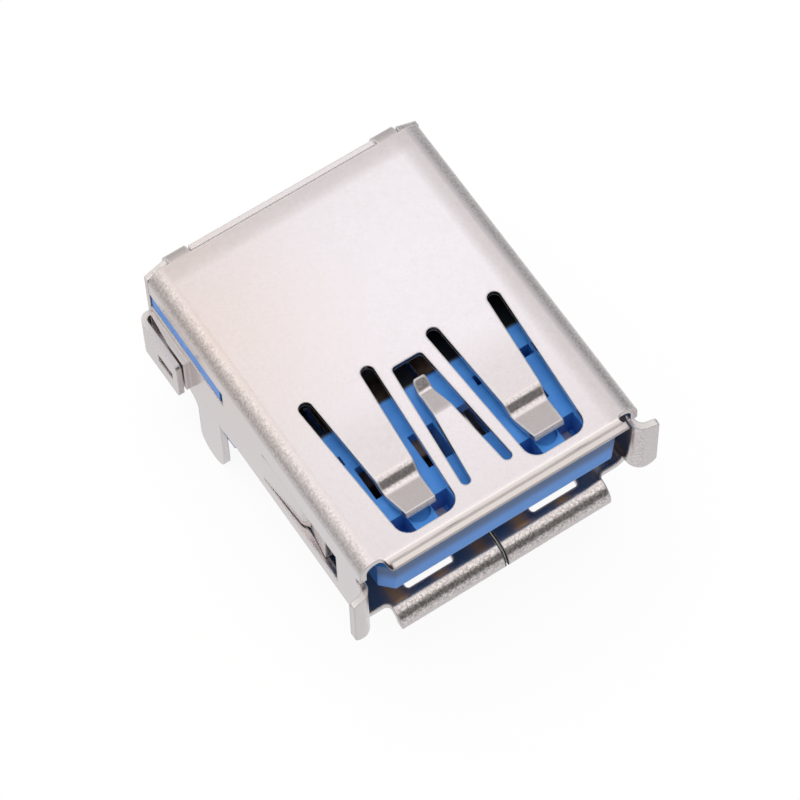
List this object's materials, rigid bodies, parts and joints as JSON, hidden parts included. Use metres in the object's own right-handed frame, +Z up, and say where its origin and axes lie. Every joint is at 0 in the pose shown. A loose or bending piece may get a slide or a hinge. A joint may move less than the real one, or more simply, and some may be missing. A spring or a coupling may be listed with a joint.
{
  "type": "usb socket",
  "caption": "Right-angle type-A USB socket with a stamped metal shell, flared mouth, spring fingers, blue contact tongue, clip-on rear cover and through-hole legs and tails.",
  "frame": {"origin": "on the board surface, mid-width of the socket, in the row of the sprung contacts' tails", "axes": "+X across the socket, -Y out of the mouth towards the plug, +Z up from the board"},
  "size_m": [0.0146, 0.0172, 0.0101],
  "materials": {
    "shell_metal": "bright nickel plating, satin",
    "cover_metal": "bright nickel plating, satin",
    "blue_plastic": "moulded, semi-gloss",
    "spacer_plastic": "moulded, matt",
    "spring_contact_metal": "plated strip, bright",
    "flat_contact_metal": "plated strip, bright"
  },
  "bodies": {
    "root": {"shell": "shell_metal", "rear_cover": "cover_metal", "insulator": "blue_plastic", "tail_spacer": "spacer_plastic", "contact_vbus": "spring_contact_metal", "contact_data_minus": "spring_contact_metal", "contact_data_plus": "spring_contact_metal", "contact_ground": "spring_contact_metal", "contact_receive_minus": "flat_contact_metal", "contact_receive_plus": "flat_contact_metal", "contact_drain": "flat_contact_metal", "contact_transmit_minus": "flat_contact_metal", "contact_transmit_plus": "flat_contact_metal"}
  },
  "joints": []
}
